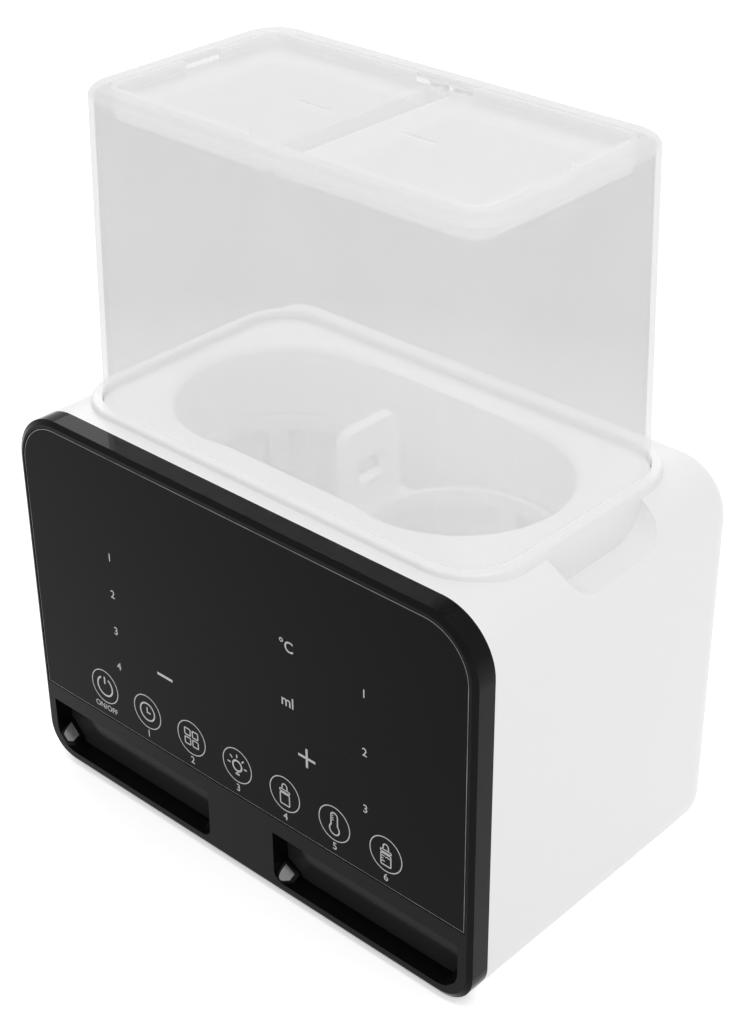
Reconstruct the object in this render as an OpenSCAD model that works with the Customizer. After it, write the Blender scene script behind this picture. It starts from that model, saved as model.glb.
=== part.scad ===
// Double bottle warmer: a white body with a black touch front, a heated well for two bottles,
// a lift-out rack and a tall frosted cover whose top opens in two flaps.
// Millimetres. X runs across the front, Y runs back, Z runs up. The origin is on the surface it
// stands on, under the middle of the body.

/* [Body] */
// Width of the body
body_w = 200; // [194:1:240]
// Depth of the body with its front frame
body_d = 128.8; // [124:0.2:160]
// Height of the body above its feet
body_h = 141.5; // [136:0.5:180]
// Height of the rubber feet below the body
foot_h = 2; // [1:0.5:4]
// Wall of the white shell
body_wall = 2.6; // [2:0.1:3]
// Radius of the two upper corners, seen from the front
top_r = 20; // [17:0.5:22]
// Radius of the two lower corners, seen from the front
bottom_r = 13; // [12.5:0.5:15]
// Radius of the rounded edge round the back
rear_r = 12; // [8:0.5:12]

/* [Collar] */
// Width of the raised collar round the foot of the cover
collar_w = 4; // [3:0.1:5]
// Height of the collar above the body
collar_h = 2.1; // [1.5:0.1:4]
// Rounding of the collar's top edge
collar_edge_r = 0.9; // [0.4:0.1:1.4]
// Width of each finger scoop beside the cover
scoop_w = 46; // [30:1:54]
// Depth of the scoops below the top of the body
scoop_depth = 14; // [8:0.5:16]
// Radius of the scoops' lower corners
scoop_r = 12; // [6:0.5:12]
// How far the scoops sit behind the middle
scoop_y = 3; // [-4:0.5:6]

/* [Front frame] */
// Depth of the black frame
bezel_d = 8.2; // [7.4:0.1:10]
// Wall of the frame's front and rim
bezel_wall = 2.4; // [2:0.1:3]
// Width of the bevel round the front edge
bezel_bevel = 1.8; // [1:0.1:2.4]
// Depth of that bevel
bezel_bevel_d = 1.1; // [0.5:0.1:1.6]
// Thickness of the touch panel
panel_t = 0.8; // [0.5:0.1:1.2]
// How far the panel sits below the frame's face
panel_sink = 0.2; // [0:0.05:0.4]
// Gap round the panel
panel_gap = 0.3; // [0.15:0.05:0.5]
// Margin between the panel and the sides of the frame
panel_side = 2.9; // [2.6:0.1:6]
// Margin between the panel and the top of the frame
panel_top = 3.2; // [2.6:0.1:8]
// Height of the panel's lower edge above the body's underside
panel_low = 31; // [29:0.5:40]
// Gap between parts that drop into one another
fit_gap = 0.2; // [0.15:0.05:0.4]

/* [Front recesses] */
// Distance of each recess's outer end from the body's side
recess_side = 5.2; // [4:0.1:10]
// Height of each recess
recess_h = 20; // [14:0.5:21]
// Depth of each recess
recess_depth = 6.8; // [4:0.1:7.2]
// Half the width of the bridge between the recesses
recess_gap = 15.3; // [12:0.1:18]
// Height of the recess floor above the body's underside
recess_floor = 4.3; // [3.6:0.1:6]
// Radius of each recess's outer lower corner
recess_r = 8.8; // [6:0.1:9.4]
// Radius of each recess's inner lower corner
recess_inner_r = 4; // [2:0.5:6]
// Thickness of the night-light window at the back of each recess
window_t = 1.4; // [1:0.1:1.8]

/* [Cover] */
// Width of the cover at its foot
cover_w = 169.3; // [164:0.1:174]
// Depth of the cover at its foot
cover_d = 94.4; // [90:0.1:100]
// Radius of the cover's corners at its foot
cover_r = 16.5; // [14:0.5:18]
// Height of the cover
cover_h = 107.8; // [104:0.1:150]
// How much each side leans in from foot to top
cover_draft = 3.2; // [1:0.1:4]
// Wall of the cover
cover_wall = 1.8; // [1.4:0.1:2.2]
// Rounding of the cover's top edge
cover_edge_r = 3; // [2:0.1:3.5]
// Thickness of the flange round the cover's mouth
rim_t = 2.2; // [1.6:0.1:3]
// Width of that flange, from the outside
rim_w = 6.4; // [5.6:0.1:7.2]
// Corner radius of the cover's mouth
mouth_r = 7; // [5:0.5:9]

/* [Flaps] */
// Gap round each flap
flap_gap = 0.6; // [0.4:0.05:1]
// Depth of the flap's panel below the cover's rim
flap_sink = 3.5; // [2.5:0.1:4]
// Thickness of the flap's panel
flap_t = 1.8; // [1.4:0.1:2.2]
// Width of the raised lip round the panel
flap_lip_w = 2.2; // [1.6:0.1:3]
// Height of the skirt below the panel
flap_skirt_h = 4.7; // [3.5:0.1:5]
// Wall of the skirt
flap_skirt_t = 1.6; // [1.2:0.1:2]
// Half the width of the channel between the flaps
channel_half = 4.5; // [3.6:0.1:5]
// Distance of each hinge axis from the middle
hinge_x = 4.7; // [4.4:0.1:6]
// Depth of the hinge axes below the cover's rim
hinge_sink = 6; // [5.6:0.1:6.6]
// Radius of the hinge pins
pin_r = 1.5; // [1.2:0.1:1.7]
// Running gap round each hinge pin
pin_gap = 0.05; // [0.03:0.01:0.1]
// Length of the vent slit in each flap
slit_l = 14; // [8:0.5:20]
// Width of the vent slit
slit_w = 1.4; // [1:0.1:2]
// Distance of the slit's middle from the middle of the cover
slit_x = 21; // [16:0.5:30]
// Width of the finger notch in each flap's lip
notch_w = 15.6; // [10:0.1:20]
// How far the left flap's notch sits behind the middle
notch_y = 3.5; // [-4:0.5:4]
// Overlap of the flap's lip on its seat in the cover's rim
seat_lap = 0.3; // [0.2:0.05:0.5]

/* [Well] */
// Radius of each end of the well
well_r = 36.5; // [34:0.5:38]
// Distance between the middles of the two bottle places
well_pitch = 76; // [73:0.5:78]
// Depth of the well below the deck
well_depth = 92; // [80:0.5:94]
// Wall of the well
well_wall = 2; // [1.6:0.1:2.4]
// Thickness of the deck round the well
deck_t = 2; // [1.6:0.1:2.4]
// Width of the ledge that the deck rests on
ledge_w = 5.5; // [4:0.1:6]

/* [Rack] */
// Gap between the rack and the well
rack_gap = 1.2; // [0.8:0.1:2]
// Height of the rack's rings above its floor
rack_h = 64; // [50:1:70]
// Thickness of the rack's floor
rack_t = 2.2; // [1.8:0.1:3]
// Height of the rack's rings
ring_h = 5; // [4:0.5:8]
// Thickness of the handle between the bottles
handle_t = 4.4; // [4:0.1:5]
// Height of the handle's top above the deck
handle_rise = 4; // [2:0.5:5]

/* [Heater] */
// Thickness of the heating plate's flange
plate_t = 3; // [2.4:0.1:4]
// How far the plate's edge reaches under the well's floor
plate_lap = 4.5; // [4:0.1:6]
// Thickness of the plate's gasket
gasket_t = 1.5; // [1:0.1:2]
// Thickness of the heater elements
heater_t = 6; // [5:0.5:7]
// Length of each heater element
heater_l = 36; // [28:1:40]
// Width of each heater element
heater_w = 20; // [14:1:22]

/* [Base] */
// Thickness of the base plate
base_t = 2.6; // [2.2:0.1:3.2]
// Width of the opening that the base plate fills
base_w = 164; // [150:1:168]
// Depth of the opening that the base plate fills
base_d = 92; // [84:1:94]
// Diameter of the rubber feet
foot_dia = 13; // [10:0.5:15]
// Bore of the cord gland
gland_bore_r = 3.4; // [2.5:0.1:3.8]

/* [Hidden] */
$fn = 64;
// A little extra length, so that cuts pass right through what they cut
over = 1;

// Levels and faces of the body
front_y = -body_d / 2;
back_y = body_d / 2;
shell_y = front_y + bezel_d;
low_z = foot_h;
top_z = foot_h + body_h;
collar_z = top_z + collar_h;
top_cx = body_w / 2 - top_r;
top_cz = top_z - top_r;
low_cx = body_w / 2 - bottom_r;
low_cz = low_z + bottom_r;

// The cover's seat: the deck lies on a ledge, and the cover stands on the deck
deck_gap = 0.3;
seat_drop = 0.5;
deck_z = top_z - seat_drop;
ledge_z = deck_z - deck_t;
ledge_t = 3;
ledge_margin = 2.6;
gasket_drop = 0.6;
seat_gap = 0.5;
collar_r = cover_r + collar_w;

// Cover
cover_z = deck_z + 0.1;
cover_top = cover_z + cover_h;
draft_a = atan(cover_draft / cover_h);
edge_tuck = 0.006;
rim_z = cover_top - rim_t;
mouth_hx = cover_w / 2 - cover_draft - rim_w;
mouth_hy = cover_d / 2 - cover_draft - rim_w;

// Flaps
flap_hx = mouth_hx - flap_gap;
flap_hy = mouth_hy - flap_gap;
flap_r = mouth_r - flap_gap;
seat_side_gap = 0.3;
seat_inset = flap_gap + seat_lap;
seat_z = cover_top - 1.1;
rest_gap = 0.05;
body_inset = seat_lap + seat_side_gap;
flap_body_hy = flap_hy - body_inset;
flap_z = cover_top - flap_sink;
flap_low = flap_z - flap_t - flap_skirt_h;
flap_lip_z = cover_top - 0.3;
hinge_z = cover_top - hinge_sink;
knuckle_r = 3.2;
knuckle_l = 3.5;
ear_t = 2.8;
ear_r = pin_r + pin_gap + 1.1;
pin_end_gap = 0.3;
lip_fillet = 1;
// The lips stop where they still pass each other with both flaps open
flap_open = 80;
lip_clear = 0.35;
lip_reach = (flap_lip_z - hinge_z) * sin(flap_open) - hinge_x + lip_clear;
lip_end_x = max(hinge_x + lip_reach / cos(flap_open), channel_half + 1);

// Well, rack and heater
well_cx = well_pitch / 2;
hook_x = 0.3 * cover_w;
well_floor = deck_z - well_depth;
tank_low = well_floor - well_wall;
plate_r = well_r - 1;
plate_hole_r = plate_r - plate_lap;
plate_z = tank_low - gasket_t;
plate_low = plate_z - plate_t;
heater_low = plate_low - heater_t;
plate_ear_y = plate_r + 1;
strap_t = 1.2;
strap_w = 14;
strap_screw_x = well_cx + heater_l / 2 + 5.8;
sensor_y = 14;
sensor_r = 2.4;
sensor_deep = 3;
sensor_l = 6;
sensor_flange_r = 5;
sensor_flange_t = 1.5;
cutout_y = -17;
cutout_r = 6.5;
cutout_h = 8;
cutout_flange_r = 8;
cutout_flange_t = 2;
contact_w = 6.4;
contact_l = 9;
contact_t = 0.8;
contact_z = 2;
rack_r = well_r - rack_gap;
rack_foot = 1.8;
rack_z = well_floor + 0.25 + rack_foot;
ring_wall = 2.4;
ring_z = rack_z + rack_h - ring_h;
bridge_hy = 15;
bridge_hx = well_cx - sqrt(rack_r * rack_r - bridge_hy * bridge_hy) + 1;
handle_half = 12.6;
handle_slot_gap = 0.1;
tongue_half = 8;
grip_w = 14;
grip_h = 9;
grip_drop = 20;
relief_r = 6;
relief_rises = [16, 38];

// Base
base_z = low_z;
base_top = base_z + base_t;
base_r = 8;
base_y = (shell_y + back_y) / 2 - 3;
post_x = base_w / 2 - 7;
post_y = base_d / 2 - 7;
post_r = 4;
post_h = 26;
rib_t = 2.4;
screw_r = 1.5;
head_r = 3;
head_t = 1.7;
foot_x = base_w / 2 - 20;
foot_y = base_d / 2 - 9;
foot_stem_r = 3;
base_screw_l = 10;
vent_x = 36;
slot_pitch = 7;
slot_l = 20;
slot_w = 2.4;
slot_gap = 6;
post_hole_l = 12;

// Front frame
panel_y = front_y + panel_sink;
board_face_y = front_y + bezel_wall + panel_t;
recess_back = front_y + recess_depth;
recess_w = body_w / 2 - recess_gap - recess_side;
recess_cx = recess_gap + recess_w / 2;
recess_cz = low_z + recess_floor + recess_h / 2;
gusset_w = 6;
gusset_in_rise = 1.6;
gusset_out_rise = 5.5;
plug_l = 3;
plug_t = 1.4;
led_y = recess_back + window_t + 3.2;
led_side = 3.5;
led_post_r = 2;
led_l = recess_w - led_side;
led_h = 9;
led_pitch = led_l / 4 + 1;
led_size = 5;
led_t = 1.4;

// Boards
pcb_t = 1.6;
pcb_y = board_face_y + 3.6;
key_pitch = 21.8;
key_margin = 18.6;
pcb_w = 6 * key_pitch + 2 * key_margin;
pcb_h = 96;
pcb_z = (top_z + low_z + panel_low) / 2 - 1;
key_rise = 12.6;
key_z = low_z + panel_low + key_rise;
digit_rise = 42;
digit_z = key_z + digit_rise;
digit_w = 48;
digit_h = 30;
plus_x = 32.7;
plus_rise = 19.5;
plus_z = key_z + plus_rise;
spring_r = 5.5;
spring_ring_w = 1.2;
spring_tube_r = 4.5;
spring_wire = 0.8;
buzzer_r = 6;
buzzer_h = 6;
buzzer_hole_r = 1.2;
buzzer_x = 0.36 * pcb_w;
buzzer_z = pcb_z + 0.21 * pcb_h;
screw_bite = 2.6;
power_w = 92;
power_d = 54;
power_hole_x = power_w / 2 - 5;
power_hole_y = power_d / 2 - 5;
power_x = -26;
power_y = base_y + 8;
power_z = base_top + 5;

// Parts on the power board, placed by shares of its sides
core_l = 24;
core_t = 5.5;
coil_l = 20;
coil_d = 16;
coil_h = 6;
core_x = power_x - 0.3 * power_w;
relay_l = 19;
relay_d = 15;
relay_h = 15;
relay_x = power_x + power_w / 6;
relay_y = power_y - 0.36 * power_d;
terminal_l = 22;
terminal_d = 11;
terminal_h = 11;
terminal_x = relay_x;
terminal_y = power_y + power_d / 8;
terminal_pitch = 6.5;
terminal_hole_r = 2;
ribbon_w = 16;
ribbon_t = 1;
ribbon_r = 5;
ribbon_lift = 1.5;
ribbon_x = power_x - 0.22 * power_w;

// Cord gland in the back wall
gland_side = 34;
gland_x = body_w / 2 - gland_side;
gland_rise = 26;
gland_z = low_z + gland_rise;
gland_flange_r = 8.5;
gland_body_r = 5.6;
gland_sink = 1.8;
gland_flange_t = 1.6;
gland_pad = 3;

// Prism along Y from y0 to y1: the drawing's x stays x, and its y becomes z
module along_y(y0, y1) {
    translate([0, y1, 0]) rotate([90, 0, 0]) linear_extrude(height = y1 - y0) children();
}

// Prism along X from x0 to x1: the drawing's x becomes y, and its y becomes z
module along_x(x0, x1) {
    translate([x0, 0, 0]) rotate([90, 0, 90]) linear_extrude(height = x1 - x0) children();
}

module prism(z0, z1) {
    translate([0, 0, z0]) linear_extrude(height = z1 - z0) children();
}

module block(x0, x1, y0, y1, z0, z1) {
    translate([x0, y0, z0]) cube([x1 - x0, y1 - y0, z1 - z0]);
}

module round_rect(w, d, r) {
    square([w - 2 * r, d], center = true);
    square([w, d - 2 * r], center = true);
    for (sx = [-1, 1], sy = [-1, 1])
        translate([sx * (w / 2 - r), sy * (d / 2 - r)]) circle(r);
}

// The well's plan: two circles and the straight sides between them
module stadium(r) {
    square([2 * well_cx, 2 * r], center = true);
    for (s = [-1, 1]) translate([s * well_cx, 0]) circle(r);
}

module both_sides() {
    children();
    mirror([1, 0, 0]) children();
}

module four_corners(x, y) {
    for (sx = [-1, 1], sy = [-1, 1]) translate([sx * x, sy * y, 0]) children();
}

// A slab with round corners about vertical axes. The child is its edge profile, drawn outwards
// from a corner's axis and upwards. z0 and z1 bound the middle.
module edged_slab(hx, hy, r, z0, z1) {
    cx = hx - r;
    cy = hy - r;
    lap = r / 3;
    four_corners(cx, cy) rotate_extrude() children();
    for (s = [0, 1]) mirror([0, s, 0]) translate([0, cy, 0]) along_x(-cx, cx) children();
    for (s = [0, 1]) mirror([s, 0, 0]) translate([cx, 0, 0]) along_y(-cy, cy) children();
    block(-cx - lap, cx + lap, -cy - lap, cy + lap, z0, z1);
}

// The body's front outline, inset by i: larger corners above than below
module front_outline(i) {
    translate([-top_cx, low_cz]) square([2 * top_cx, top_z - i - low_cz]);
    translate([-low_cx, low_z + i]) square([2 * low_cx, top_cz - low_z - i]);
    translate([-body_w / 2 + i, low_cz]) square([body_w - 2 * i, top_cz - low_cz]);
    for (s = [-1, 1]) {
        translate([s * top_cx, top_cz]) circle(top_r - i);
        translate([s * low_cx, low_cz]) circle(bottom_r - i);
    }
}

// Quarter disc that rounds the back edge, with its centre at the drawing's origin
module rear_quarter(i) {
    intersection() {
        circle(rear_r - i);
        square(rear_r);
    }
}

// Edge of the body in a corner's (radius, depth) plane
module corner_profile(r, i, y0) {
    translate([0, y0]) square([r - i, back_y - rear_r - y0]);
    translate([0, y0]) square([r - rear_r, back_y - i - y0]);
    translate([r - rear_r, back_y - rear_r]) rear_quarter(i);
}

// The body as a solid from y0 back, inset by i, with its back edge rounded all round
module body_form(i, y0) {
    rear_c = back_y - rear_r;
    along_x(-top_cx, top_cx) {
        translate([y0, low_z + i]) square([rear_c - y0, body_h - 2 * i]);
        translate([y0, low_z + rear_r]) square([back_y - i - y0, body_h - 2 * rear_r]);
        translate([rear_c, top_z - rear_r]) rear_quarter(i);
        translate([rear_c, low_z + rear_r]) mirror([0, 1]) rear_quarter(i);
    }
    along_x(-low_cx, low_cx) {
        translate([y0, low_z + i]) square([rear_c - y0, bottom_r + 5 - i]);
        translate([y0, low_z + rear_r]) square([back_y - i - y0, bottom_r - rear_r + 5]);
        translate([rear_c, low_z + rear_r]) mirror([0, 1]) rear_quarter(i);
    }
    prism(low_cz, top_cz) {
        translate([-body_w / 2 + i, y0]) square([body_w - 2 * i, rear_c - y0]);
        translate([-body_w / 2 + rear_r, y0]) square([body_w - 2 * rear_r, back_y - i - y0]);
        for (s = [0, 1]) mirror([s, 0]) translate([body_w / 2 - rear_r, rear_c]) rear_quarter(i);
    }
    for (s = [-1, 1]) {
        translate([s * top_cx, 0, top_cz]) rotate([-90, 0, 0]) rotate_extrude()
            corner_profile(top_r, i, y0);
        translate([s * low_cx, 0, low_cz]) rotate([-90, 0, 0]) rotate_extrude()
            corner_profile(bottom_r, i, y0);
    }
}

// Finger scoop beside the cover, cut along X. grow leaves a wall of that thickness round it.
module scoop_cut(grow) {
    w = scoop_w + 2 * grow;
    z = top_z - scoop_depth - grow;
    r = scoop_r + grow;
    x0 = cover_w / 2 + collar_w - grow;
    translate([0, scoop_y, 0]) along_x(x0, body_w / 2 + over) {
        translate([-w / 2 + r, z]) square([w - 2 * r, collar_z + over - z]);
        translate([-w / 2, z + r]) square([w, collar_z + over - z - r]);
        for (s = [-1, 1]) translate([s * (w / 2 - r), z + r]) circle(r);
    }
}

module collar_profile() {
    z0 = top_z - 2 * rear_r / 3;
    translate([0, z0]) square([collar_r, collar_z - collar_edge_r - z0]);
    translate([0, z0]) square([collar_r - collar_edge_r, collar_z - z0]);
    translate([collar_r - collar_edge_r, collar_z - collar_edge_r]) circle(collar_edge_r);
}

module housing() {
    inner_z = top_z - body_wall;
    collar_hx = cover_w / 2 + collar_w;
    collar_hy = cover_d / 2 + collar_w;
    ledge_low = ledge_z - gasket_drop - ledge_t;
    color("white") {
        difference() {
            union() {
                body_form(0, shell_y);
                edged_slab(collar_hx, collar_hy, collar_r, top_z - 2 * rear_r / 3, collar_z)
                    collar_profile();
            }
            // the inside, less the thick ring under the deck and the walls of the scoops
            difference() {
                body_form(body_wall, shell_y - over);
                prism(ledge_low, collar_z)
                    round_rect(cover_w + 2 * ledge_margin, cover_d + 2 * ledge_margin,
                        cover_r + ledge_margin);
                both_sides() scoop_cut(body_wall);
            }
            both_sides() scoop_cut(0);
            // seat of the deck and the cover
            prism(ledge_z, collar_z + over)
                round_rect(cover_w + 2 * seat_gap, cover_d + 2 * seat_gap, cover_r + seat_gap);
            // groove for the deck's gasket, and the way down for the well
            prism(ledge_low - over, ledge_z + over)
                round_rect(cover_w - 2 * ledge_w, cover_d - 2 * ledge_w, cover_r - ledge_w + 2);
            prism(ledge_z - gasket_drop, ledge_z + over) gasket_ring(fit_gap);
            // opening that the base plate fills
            translate([0, base_y, 0]) prism(low_z - over, low_z + body_wall + over)
                round_rect(base_w, base_d, base_r);
            // pocket and hole for the cord gland
            translate([gland_x, 0, gland_z]) {
                rotate([-90, 0, 0]) translate([0, 0, back_y - gland_sink])
                    cylinder(r = gland_flange_r + fit_gap, h = gland_sink + over);
                rotate([-90, 0, 0]) translate([0, 0, back_y - body_wall - gland_pad - over])
                    cylinder(r = gland_body_r + fit_gap, h = body_wall + gland_pad + over);
            }
        }
        // pad that thickens the back wall behind the gland's pocket
        translate([gland_x, 0, gland_z]) rotate([-90, 0, 0])
            translate([0, 0, back_y - body_wall - gland_pad])
            difference() {
                cylinder(r = gland_flange_r + body_wall, h = gland_pad + 0.4);
                translate([0, 0, -over]) cylinder(r = gland_body_r + fit_gap, h = gland_pad + 3);
            }
        base_posts();
    }
}

// Four screw posts, each tied to the side wall by a rib
module base_posts() {
    z1 = base_top + post_h;
    translate([0, base_y, 0]) difference() {
        four_corners(post_x, post_y) translate([0, 0, base_top])
            cylinder(r = post_r, h = post_h);
        four_corners(post_x, post_y) translate([0, 0, base_top - over])
            cylinder(r = screw_r - 0.2, h = post_hole_l + over);
    }
    x1 = body_w / 2 - body_wall + 0.3;
    for (sy = [-1, 1]) both_sides() difference() {
        block(post_x + post_r - 0.5, x1, base_y + sy * post_y - rib_t / 2,
            base_y + sy * post_y + rib_t / 2, low_z + bottom_r + 1, z1);
        block(post_x, base_w / 2 + 1, base_y - base_d, base_y + base_d, low_z, base_top);
    }
}

module base_plate() {
    color("white") translate([0, base_y, 0]) {
        difference() {
            prism(base_z, base_top)
                round_rect(base_w - 2 * fit_gap, base_d - 2 * fit_gap, base_r - fit_gap);
            four_corners(post_x, post_y) {
                translate([0, 0, base_z - over]) cylinder(r = screw_r + 0.3, h = base_t + 2 * over);
                translate([0, 0, base_z - over])
                    cylinder(r = head_r + fit_gap, h = head_t + over);
            }
            four_corners(foot_x, foot_y) translate([0, 0, base_z - over])
                cylinder(r = foot_stem_r + 0.1, h = base_t + 2 * over);
            vent_slots();
        }
        // stand-offs for the power board
        translate([power_x, power_y - base_y, base_top - 0.2])
            four_corners(power_hole_x, power_hole_y) difference() {
                cylinder(r = 3, h = power_z - base_top + 0.2);
                translate([0, 0, 1]) cylinder(r = screw_r - 0.2, h = power_z);
            }
    }
}

// Two rows of slots under the heater that let air in
module vent_slots() {
    slot_n = 8;
    for (i = [0 : slot_n - 1], row = [-1, 1])
        translate([vent_x + (i - (slot_n - 1) / 2) * slot_pitch, row * (slot_l + slot_gap) / 2,
            base_z - over])
            linear_extrude(height = base_t + 2 * over) {
                square([slot_w, slot_l - slot_w], center = true);
                for (s = [-1, 1]) translate([0, s * (slot_l - slot_w) / 2]) circle(slot_w / 2);
            }
}

module rubber_feet() {
    color("dimgray") translate([0, base_y, 0]) four_corners(foot_x, foot_y) {
        rotate_extrude() {
            square([foot_dia / 2 - 0.8, foot_h]);
            translate([0, 0.8]) square([foot_dia / 2, foot_h - 0.8]);
            translate([foot_dia / 2 - 0.8, 0.8]) circle(0.8);
        }
        translate([0, 0, foot_h - 0.1]) cylinder(r = foot_stem_r, h = base_t + 0.1);
        translate([0, 0, foot_h + base_t]) cylinder(r1 = foot_stem_r + 0.6, r2 = foot_stem_r - 0.6, h = 1.6);
    }
}

// Pan-head screw that points up from z = 0 at the underside of its head
module screw_up(length) {
    difference() {
        translate([0, 0, -head_t]) cylinder(r = head_r, h = head_t);
        for (a = [0, 90]) rotate([0, 0, a]) translate([0, 0, -head_t])
            cube([0.8, 3.4, 1.4], center = true);
    }
    translate([0, 0, -0.1]) cylinder(r = screw_r - 0.2, h = length + 0.1);
}

module base_screws() {
    color("silver") translate([0, base_y, 0]) four_corners(post_x, post_y)
        translate([0, 0, base_z + head_t]) screw_up(base_screw_l);
}

// Front frame seen in section from a corner: bevelled front edge, full depth
module bezel_corner(r) {
    polygon([[0, front_y], [r - bezel_bevel, front_y], [r, front_y + bezel_bevel_d],
        [r, shell_y], [0, shell_y]]);
}

module bezel_form() {
    y1 = front_y + bezel_bevel_d;
    along_y(y1, shell_y) front_outline(0);
    b = bezel_bevel;
    along_y(front_y, y1 + over) front_outline(b);
    // the bevel: a sloped edge along each side and a cone at each corner
    along_x(-top_cx, top_cx) {
        polygon([[front_y, top_z - b], [y1, top_z], [y1 + over, top_z], [y1 + over, top_z - 2 * b],
            [front_y, top_z - 2 * b]]);
    }
    along_x(-low_cx, low_cx) {
        polygon([[front_y, low_z + b], [y1, low_z], [y1 + over, low_z], [y1 + over, low_z + 2 * b],
            [front_y, low_z + 2 * b]]);
    }
    both_sides() prism(low_cz, top_cz) {
        x = body_w / 2;
        polygon([[x - b, front_y], [x, y1], [x, y1 + over], [x - 2 * b, y1 + over],
            [x - 2 * b, front_y]]);
    }
    for (s = [-1, 1]) {
        translate([s * top_cx, 0, top_cz]) rotate([-90, 0, 0]) rotate_extrude()
            bezel_corner(top_r);
        translate([s * low_cx, 0, low_cz]) rotate([-90, 0, 0]) rotate_extrude()
            bezel_corner(bottom_r);
    }
}

// Outline of the touch panel: round upper corners, square lower ones
module panel_outline(grow) {
    x = body_w / 2 - panel_side + grow;
    z0 = low_z + panel_low - grow;
    z1 = top_z - panel_top + grow;
    r = top_r - (panel_side + panel_top) / 2 + grow;
    translate([-x, z0]) square([2 * x, z1 - r - z0]);
    translate([-x + r, z0]) square([2 * (x - r), z1 - z0]);
    for (s = [-1, 1]) translate([s * (x - r), z1 - r]) circle(r);
}

// Outline of one recess, on the right: its outer lower corner follows the frame's own
module recess_outline(grow) {
    x0 = recess_gap - grow;
    x1 = recess_gap + recess_w + grow;
    z0 = low_z + recess_floor - grow;
    z1 = low_z + recess_floor + recess_h + grow;
    r0 = recess_inner_r + grow;
    r1 = recess_r + grow;
    translate([x0, z0 + r1]) square([x1 - x0, z1 - z0 - r1]);
    translate([x0 + r0, z0]) square([x1 - x0 - r0 - r1, z1 - z0]);
    translate([x0, z0 + r0]) square([r1, z1 - z0 - r0]);
    translate([x0 + r0, z0 + r0]) circle(r0);
    translate([x1 - r1, z0 + r1]) circle(r1);
}

// Gusset in a recess's lower corner: the block below a plane that passes through the point
// (x, z) of the front face, tilted from level and turned about the vertical
module gusset(x, z, tilt, turn) {
    size = 4 * gusset_w;
    z0 = low_z + recess_floor - window_t / 2;
    intersection() {
        block(x - gusset_w, x + gusset_w, front_y, recess_back, z0, z + gusset_w);
        translate([x, front_y, z]) rotate([0, 0, turn]) rotate([0, tilt, 0])
            translate([-size / 2, -size / 2, -size]) cube(size);
    }
}

// The two gussets of the right recess
module recess_gussets() {
    z0 = low_z + recess_floor;
    gusset(recess_gap, z0 + gusset_in_rise, 37, -44);
    translate([2 * (recess_gap + recess_w), 0, 0]) mirror([1, 0, 0])
        gusset(recess_gap + recess_w, z0 + gusset_out_rise, 47, -22);
}

module front_bezel() {
    color([0.05, 0.05, 0.06]) difference() {
        union() {
            difference() {
                bezel_form();
                along_y(board_face_y, shell_y + over) front_outline(bezel_wall);
            }
            // lip that plugs into the white shell
            difference() {
                along_y(front_y + bezel_wall, shell_y + plug_l)
                    front_outline(body_wall + fit_gap);
                along_y(front_y + bezel_wall, shell_y + plug_l + over)
                    front_outline(body_wall + fit_gap + plug_t);
            }
            both_sides() along_y(front_y + over, recess_back) recess_outline(window_t);
            // bosses for the display board's screws
            board_holes() translate([0, 0, board_face_y - 0.2])
                cylinder(r = post_r, h = pcb_y - board_face_y + 0.2);
        }
        along_y(front_y - over, panel_y + panel_t) panel_outline(panel_gap);
        both_sides() {
            difference() {
                along_y(front_y - over, recess_back) recess_outline(0);
                recess_gussets();
            }
            along_y(recess_back, shell_y + plug_l + over) recess_outline(window_t + fit_gap);
        }
        // window for the digits and the units beside them
        translate([0, 0, digit_z]) along_y(front_y, board_face_y + over)
            round_rect(digit_w + 4, digit_h + 4, 2);
        board_holes() translate([0, 0, pcb_y - screw_bite - 0.3])
            cylinder(r = screw_r - 0.2, h = screw_bite + 1);
    }
}

// Places a child at each of the display board's four screws, with +Z pointing back
module board_holes() {
    for (sx = [-1, 1], sz = [-1, 1])
        translate([sx * (pcb_w / 2 - 5), 0, pcb_z + sz * (pcb_h / 2 - 5)]) rotate([-90, 0, 0])
            children();
}

module touch_panel() {
    color([0.07, 0.07, 0.08])
        along_y(panel_y, panel_y + panel_t) panel_outline(0);
}

// Smoked night-light window: it closes the back of the recess
module light_window() {
    color([0.1, 0.1, 0.11]) {
        along_y(recess_back, recess_back + window_t) recess_outline(window_t);
        // posts for the strip of LEDs
        for (s = [-1, 1])
            translate([recess_cx + s * (led_l / 2 - 2 * led_post_r), recess_back + window_t - 0.1,
                recess_cz])
                rotate([-90, 0, 0])
                    cylinder(r = led_post_r, h = led_y - recess_back - window_t + 0.1);
    }
}

module light_window_left() {
    mirror([1, 0, 0]) light_window();
}

module light_window_right() {
    light_window();
}

// One strip of LEDs behind each window
module night_light_boards() {
    color("seagreen") both_sides() translate([recess_cx, led_y, recess_cz]) {
        along_y(0, pcb_t) square([led_l, led_h], center = true);
        for (i = [-1 : 1]) translate([i * led_pitch, 0, 0])
            along_y(-led_t, 0.1) square(led_size, center = true);
    }
}

module display_board() {
    color("seagreen") difference() {
        translate([0, 0, pcb_z]) along_y(pcb_y, pcb_y + pcb_t) round_rect(pcb_w, pcb_h, 4);
        board_holes() translate([0, 0, pcb_y - over])
            cylinder(r = screw_r + 0.2, h = pcb_t + 2 * over);
    }
}

// Screws of the display board and of the power board
module board_screws() {
    length = pcb_t + screw_bite;
    color("silver") {
        board_holes() translate([0, 0, pcb_y + pcb_t]) mirror([0, 0, 1]) screw_up(length);
        translate([power_x, power_y, power_z + pcb_t]) four_corners(power_hole_x, power_hole_y)
            mirror([0, 0, 1]) screw_up(length);
    }
}

module display_module() {
    color([0.12, 0.12, 0.13]) translate([0, 0, digit_z])
        along_y(panel_y + panel_t + fit_gap, pcb_y) square([digit_w, digit_h], center = true);
}

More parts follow.
